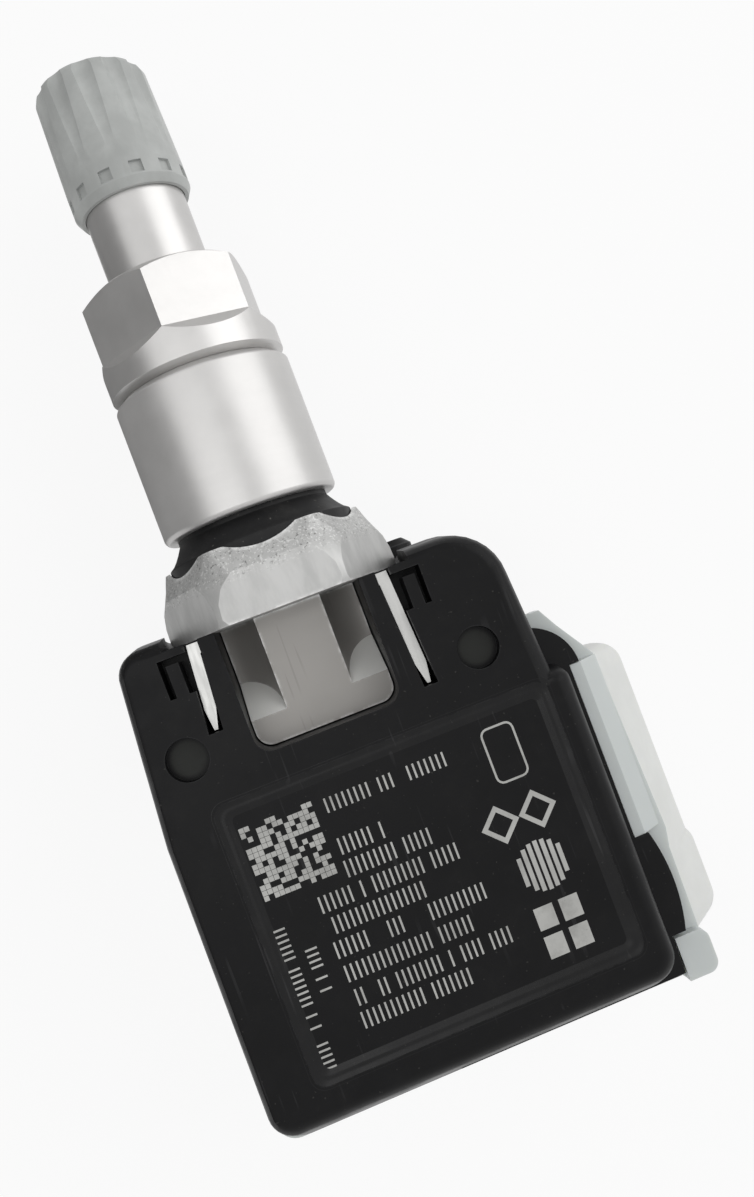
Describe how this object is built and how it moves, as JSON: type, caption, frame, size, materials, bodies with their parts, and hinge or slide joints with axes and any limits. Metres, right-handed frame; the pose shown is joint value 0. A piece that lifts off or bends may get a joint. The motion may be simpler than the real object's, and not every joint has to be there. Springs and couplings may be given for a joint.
{
  "type": "tyre pressure sensor",
  "caption": "Wheel sensor with a clamp-in valve stem, a screw cap, a nut with its collar, and a sealed housing for board and cell.",
  "frame": {"origin": "on the stem's axis, in the plane where the wheel seats on the grommet", "axes": "+Y along the stem towards the cap, +Z out of the housing's marked face, +X to the right seen with the cap up"},
  "size_m": [0.0401, 0.0822, 0.0187],
  "materials": {
    "cap_plastic": "satin grey",
    "seal_rubber": "matt black",
    "brass": "satin",
    "gasket_red": "matt red",
    "pin_steel": "satin",
    "spring_steel": "bright",
    "stem_metal": "cast and machined",
    "nut_metal": "satin, anodised",
    "grommet_rubber": "matt, dusty",
    "clip_steel": "bright",
    "housing_black": "fine grain, black",
    "cover_milky": "milky, slightly translucent",
    "board_green": "solder mask",
    "cell_steel": "nickel-plated",
    "tab_nickel": "nickel strip",
    "chip_black": "moulded",
    "gel_seal": "soft silicone",
    "ferrite": "sintered",
    "copper_wire": "enamelled copper",
    "crystal_can": "plated can",
    "capacitor_tan": "ceramic",
    "antenna_wire": "plated wire"
  },
  "bodies": {
    "sensor": {"core_barrel": "brass", "core_gasket": "gasket_red", "valve_stem": "stem_metal", "grommet": "grommet_rubber", "retaining_clip": "clip_steel", "housing": "housing_black", "rear_cover": "cover_milky", "circuit_board": "board_green", "button_cell": "cell_steel", "cell_tab_top": "tab_nickel", "cell_tab_bottom": "tab_nickel", "sensor_chip": "chip_black", "port_seal": "gel_seal", "lf_coil_core": "ferrite", "lf_coil_winding": "copper_wire", "crystal": "crystal_can", "capacitors": "capacitor_tan", "antenna_loop": "antenna_wire"},
    "collar": {"collar_sleeve": "nut_metal"},
    "nut": {"hex_nut": "nut_metal"},
    "cap_lift": {"cap_seal": "seal_rubber"},
    "cap": {"valve_cap": "cap_plastic"},
    "pin": {"core_pin": "pin_steel", "core_cup_seal": "seal_rubber", "core_spring": "spring_steel"}
  },
  "joints": [
    {"name": "collar_rise", "type": "slide", "parent": "sensor", "child": "collar", "axis": [0, 1, 0], "range_m": [0, 0.0045]},
    {"name": "nut_turn", "type": "hinge", "parent": "collar", "child": "nut", "pos_m": [0, 0, 0], "axis": [0, 1, 0], "range_deg": [0, 2161]},
    {"name": "cap_rise", "type": "slide", "parent": "sensor", "child": "cap_lift", "axis": [0, 1, 0], "range_m": [0, 0.00555]},
    {"name": "cap_turn", "type": "hinge", "parent": "cap_lift", "child": "cap", "pos_m": [0, 0, 0], "axis": [0, 1, 0], "range_deg": [0, 2520]},
    {"name": "core_press", "type": "slide", "parent": "sensor", "child": "pin", "axis": [0, -1, 0], "range_m": [0, 0.0015], "stiffness_N_per_m": 1000, "springref_m": -0.001}
  ],
  "couplings": [
    {"joint": "nut_turn", "follows": "collar_rise", "rad_per_m": 8377.6},
    {"joint": "cap_turn", "follows": "cap_rise", "rad_per_m": 7913.3}
  ]
}
